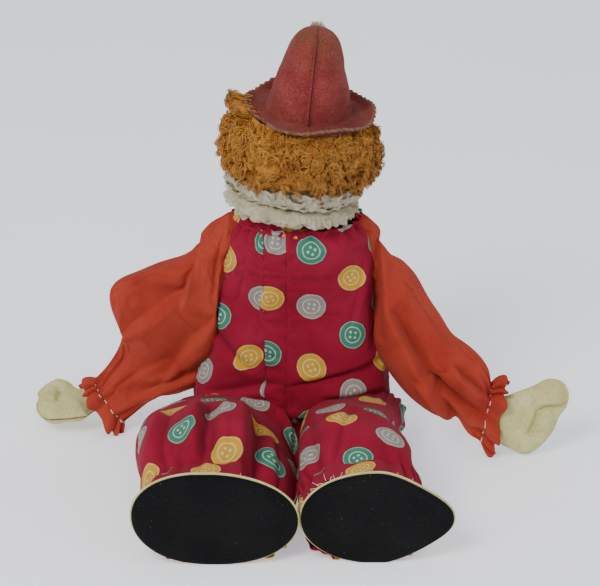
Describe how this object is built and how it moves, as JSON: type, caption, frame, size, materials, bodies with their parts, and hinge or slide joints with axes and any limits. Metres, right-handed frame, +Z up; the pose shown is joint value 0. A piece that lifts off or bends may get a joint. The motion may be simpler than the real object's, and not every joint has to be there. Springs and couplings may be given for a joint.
{
  "type": "hand puppet",
  "caption": "Cloth clown hand puppet, sitting, with a felt hat, curly wig, net ruff, wide sleeves, mitten hands and soft shoes.",
  "frame": {"origin": "middle of the seat's flat underside, on the table", "axes": "+X towards the puppet's own right side, +Y the way it faces, +Z up; the legs are folded back along -Y"},
  "size_m": [0.3796, 0.237, 0.3077],
  "materials": {
    "print_cotton": "crimson cotton printed with coloured buttons, lightly worn",
    "sleeve_cotton": "plain orange-red cotton, faded",
    "hand_felt": "fuzzy cream-yellow felt",
    "net": "yellowed stiff net",
    "hair": "curly orange pile",
    "hat_felt": "faded red felt",
    "sole_felt": "black felt with lint",
    "thread": "pale cotton thread",
    "wadding": "loose cotton wadding",
    "card": "plain brown card",
    "head_skin": "painted moulded composition",
    "nose_red": "glossy red paint"
  },
  "bodies": {
    "torso": {"front_panel": "print_cotton", "back_left_panel": "print_cotton", "back_right_panel": "print_cotton", "slit_facing": "print_cotton", "seat_panel": "print_cotton", "crotch_gusset": "print_cotton"},
    "neck": {"neckband": "print_cotton", "lower_ruff": "net", "upper_ruff": "net"},
    "head": {"neck_tube": "card", "head_shell": "head_skin", "nose": "nose_red", "wig": "hair", "hat_crown": "hat_felt", "hat_brim": "hat_felt", "hat_pompon": "net"},
    "shoulder_left": {"left_armhole_band": "sleeve_cotton"},
    "arm_left": {"left_sleeve": "sleeve_cotton", "left_cuff_thread": "thread"},
    "hand_left": {"left_hand_palm": "hand_felt", "left_hand_back": "hand_felt", "left_hand_stuffing": "wadding", "left_cuff_frill": "sleeve_cotton"},
    "shoulder_right": {"right_armhole_band": "sleeve_cotton"},
    "arm_right": {"right_sleeve": "sleeve_cotton", "right_cuff_thread": "thread"},
    "hand_right": {"right_hand_palm": "hand_felt", "right_hand_back": "hand_felt", "right_hand_stuffing": "wadding", "right_cuff_frill": "sleeve_cotton"},
    "leg_left": {"left_trouser_leg": "print_cotton", "left_leg_stuffing": "wadding", "left_trouser_frill": "print_cotton"},
    "foot_left": {"left_shoe_sole": "sole_felt", "left_shoe_insole": "card", "left_shoe_upper": "hand_felt", "left_foot_stuffing": "wadding"},
    "leg_right": {"right_trouser_leg": "print_cotton", "right_leg_stuffing": "wadding", "right_trouser_frill": "print_cotton"},
    "foot_right": {"right_shoe_sole": "sole_felt", "right_shoe_insole": "card", "right_shoe_upper": "hand_felt", "right_foot_stuffing": "wadding"}
  },
  "joints": [
    {"name": "head_nod", "type": "hinge", "parent": "torso", "child": "neck", "pos_m": [-0.005, 0, 0.176], "axis": [1, 0, 0], "range_deg": [-20, 20], "deforming": ["lower_ruff", "upper_ruff"]},
    {"name": "head_turn", "type": "hinge", "parent": "neck", "child": "head", "pos_m": [-0.005, 0, 0.176], "axis": [0.1045, 0, 0.9945], "range_deg": [-60, 60]},
    {"name": "shoulder_left_raise", "type": "hinge", "parent": "torso", "child": "shoulder_left", "pos_m": [-0.056, 0, 0.158], "axis": [0, 1, 0], "range_deg": [0, 75]},
    {"name": "shoulder_left_swing", "type": "hinge", "parent": "shoulder_left", "child": "arm_left", "pos_m": [-0.056, 0, 0.158], "axis": [0.843, 0, -0.538], "range_deg": [-15, 60]},
    {"name": "wrist_left_bend", "type": "hinge", "parent": "arm_left", "child": "hand_left", "pos_m": [-0.146, 0.012, 0.017], "axis": [0.3903, 0.9207, 0], "range_deg": [-20, 60], "deforming": ["left_cuff_frill"]},
    {"name": "shoulder_right_raise", "type": "hinge", "parent": "torso", "child": "shoulder_right", "pos_m": [0.056, 0, 0.158], "axis": [0, -1, 0], "range_deg": [0, 75]},
    {"name": "shoulder_right_swing", "type": "hinge", "parent": "shoulder_right", "child": "arm_right", "pos_m": [0.056, 0, 0.158], "axis": [0.8604, 0, 0.5096], "range_deg": [-15, 60]},
    {"name": "wrist_right_bend", "type": "hinge", "parent": "arm_right", "child": "hand_right", "pos_m": [0.133, -0.025, 0.028], "axis": [0, 0, 1], "range_deg": [-40, 40], "deforming": ["right_cuff_frill"]},
    {"name": "hip_left_swing", "type": "hinge", "parent": "torso", "child": "leg_left", "pos_m": [-0.043, -0.015, 0.024], "axis": [1, 0, 0], "range_deg": [-15, 90]},
    {"name": "ankle_left_flex", "type": "hinge", "parent": "leg_left", "child": "foot_left", "pos_m": [-0.054, -0.145, 0.031], "axis": [1, 0, 0], "range_deg": [-20, 20]},
    {"name": "hip_right_swing", "type": "hinge", "parent": "torso", "child": "leg_right", "pos_m": [0.039, -0.015, 0.024], "axis": [1, 0, 0], "range_deg": [-15, 90]},
    {"name": "ankle_right_flex", "type": "hinge", "parent": "leg_right", "child": "foot_right", "pos_m": [0.042, -0.143, 0.031], "axis": [1, 0, 0], "range_deg": [-20, 20]}
  ]
}
